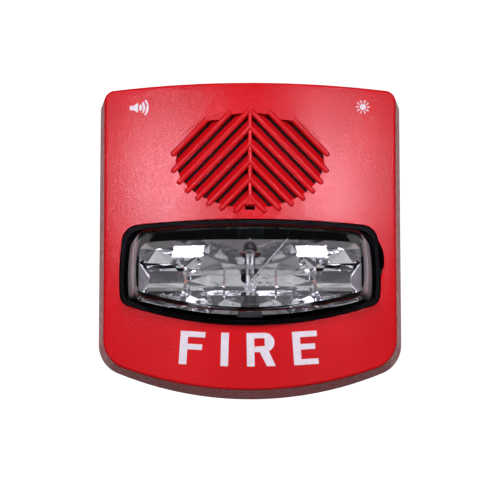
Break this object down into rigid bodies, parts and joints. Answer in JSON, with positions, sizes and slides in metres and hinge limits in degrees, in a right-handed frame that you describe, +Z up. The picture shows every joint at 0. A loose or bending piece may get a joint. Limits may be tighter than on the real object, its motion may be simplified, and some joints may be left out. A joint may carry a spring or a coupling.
{
  "type": "horn strobe",
  "caption": "Wall horn strobe: red clip-on cover with a louvred horn grille above a clear strobe lens, over a base that fits an electrical wall box.",
  "frame": {"origin": "middle of the base plate's back, on the wall", "axes": "+Z up the wall, -Y out from the wall towards the viewer, +X to the viewer's right"},
  "size_m": [0.1268, 0.0575, 0.129],
  "materials": {
    "cover_red": "moulded red plastic with a fine pebble grain",
    "screen_black": "woven black dust screen",
    "chassis_red": "moulded red plastic, plain",
    "board_green": "glass-fibre board with green solder mask",
    "screw_zinc": "zinc-plated steel",
    "trim_black": "moulded black plastic",
    "lens_clear": "clear moulded polycarbonate",
    "reflector_bright": "bright vacuum-metallised plastic",
    "tube_glass": "thin glass",
    "boot_silicone": "dark silicone",
    "wire_tinned": "tinned wire",
    "lead_insulated": "insulated stranded wire",
    "plate_brass": "thin brass",
    "ceramic_white": "silvered ceramic",
    "ring_rubber": "soft black rubber",
    "terminal_grey": "moulded dark grey plastic",
    "selector_white": "moulded white plastic",
    "sleeve_dark": "shrink sleeve over an aluminium can",
    "strap_nylon": "natural nylon",
    "ferrite_grey": "sintered ferrite",
    "winding_copper": "enamelled copper wire",
    "chip_black": "moulded epoxy",
    "film_yellow": "dipped film capacitor"
  },
  "bodies": {
    "base": {"base_plate": "chassis_red", "circuit_board": "board_green", "board_screws": "screw_zinc", "housing_screws": "screw_zinc", "reflector_screws": "screw_zinc", "sounder_screws": "screw_zinc", "strobe_housing": "trim_black", "strobe_lens": "lens_clear", "strobe_reflector": "reflector_bright", "flash_tube": "tube_glass", "tube_boots": "boot_silicone", "tube_leads": "wire_tinned", "trigger_wire": "wire_tinned", "trigger_transformer": "ferrite_grey", "sounder_housing": "trim_black", "sounder_cap": "trim_black", "sounder_ring": "ring_rubber", "sounder_leads": "lead_insulated", "terminal_block": "terminal_grey", "terminal_contacts": "screw_zinc", "volume_header": "trim_black", "candela_switch": "trim_black", "flash_capacitor": "sleeve_dark", "capacitor_strap": "strap_nylon", "boost_inductor": "ferrite_grey", "inductor_winding": "winding_copper", "microcontroller": "chip_black", "film_capacitor": "film_yellow", "power_transistors": "chip_black", "diodes": "chip_black", "resistors": "chip_black", "line_choke": "ferrite_grey"},
    "cover": {"front_cover": "cover_red", "grille_screen": "screen_black"},
    "volume_jumper": {"volume_jumper": "trim_black"},
    "candela_selector": {"candela_selector": "selector_white"},
    "sounder_plate": {"sounder_plate": "plate_brass", "piezo_disc": "ceramic_white"},
    "clamp_plate_1": {"clamp_plate_1": "screw_zinc"},
    "terminal_screw_1": {"terminal_screw_1": "screw_zinc"},
    "clamp_plate_2": {"clamp_plate_2": "screw_zinc"},
    "terminal_screw_2": {"terminal_screw_2": "screw_zinc"},
    "clamp_plate_3": {"clamp_plate_3": "screw_zinc"},
    "terminal_screw_3": {"terminal_screw_3": "screw_zinc"},
    "clamp_plate_4": {"clamp_plate_4": "screw_zinc"},
    "terminal_screw_4": {"terminal_screw_4": "screw_zinc"}
  },
  "joints": [
    {"name": "cover_pull", "type": "slide", "parent": "base", "child": "cover", "axis": [0, -1, 0], "range_m": [0, 0.065]},
    {"name": "volume_jumper_pull", "type": "slide", "parent": "base", "child": "volume_jumper", "axis": [0, -1, 0], "range_m": [0, 0.006]},
    {"name": "candela_select", "type": "slide", "parent": "base", "child": "candela_selector", "axis": [0, 0, 1], "range_m": [0, 0.0075]},
    {"name": "sounder_vibration", "type": "slide", "parent": "base", "child": "sounder_plate", "axis": [0, -1, 0], "range_m": [-0.0002, 0.0002], "stiffness_N_per_m": 4000},
    {"name": "clamp_1_lift", "type": "slide", "parent": "base", "child": "clamp_plate_1", "axis": [0, -1, 0], "range_m": [0, 0.0022]},
    {"name": "clamp_1_turn", "type": "hinge", "parent": "clamp_plate_1", "child": "terminal_screw_1", "pos_m": [-0.0114, -0.016, -0.0516], "axis": [0, -1, 0], "range_deg": [-1, 1132]},
    {"name": "clamp_2_lift", "type": "slide", "parent": "base", "child": "clamp_plate_2", "axis": [0, -1, 0], "range_m": [0, 0.0022]},
    {"name": "clamp_2_turn", "type": "hinge", "parent": "clamp_plate_2", "child": "terminal_screw_2", "pos_m": [-0.0038, -0.016, -0.0516], "axis": [0, -1, 0], "range_deg": [-1, 1132]},
    {"name": "clamp_3_lift", "type": "slide", "parent": "base", "child": "clamp_plate_3", "axis": [0, -1, 0], "range_m": [0, 0.0022]},
    {"name": "clamp_3_turn", "type": "hinge", "parent": "clamp_plate_3", "child": "terminal_screw_3", "pos_m": [0.0038, -0.016, -0.0516], "axis": [0, -1, 0], "range_deg": [-1, 1132]},
    {"name": "clamp_4_lift", "type": "slide", "parent": "base", "child": "clamp_plate_4", "axis": [0, -1, 0], "range_m": [0, 0.0022]},
    {"name": "clamp_4_turn", "type": "hinge", "parent": "clamp_plate_4", "child": "terminal_screw_4", "pos_m": [0.0114, -0.016, -0.0516], "axis": [0, -1, 0], "range_deg": [-1, 1132]}
  ],
  "couplings": [
    {"joint": "clamp_1_turn", "follows": "clamp_1_lift", "rad_per_m": 8976},
    {"joint": "clamp_2_turn", "follows": "clamp_2_lift", "rad_per_m": 8976},
    {"joint": "clamp_3_turn", "follows": "clamp_3_lift", "rad_per_m": 8976},
    {"joint": "clamp_4_turn", "follows": "clamp_4_lift", "rad_per_m": 8976}
  ]
}
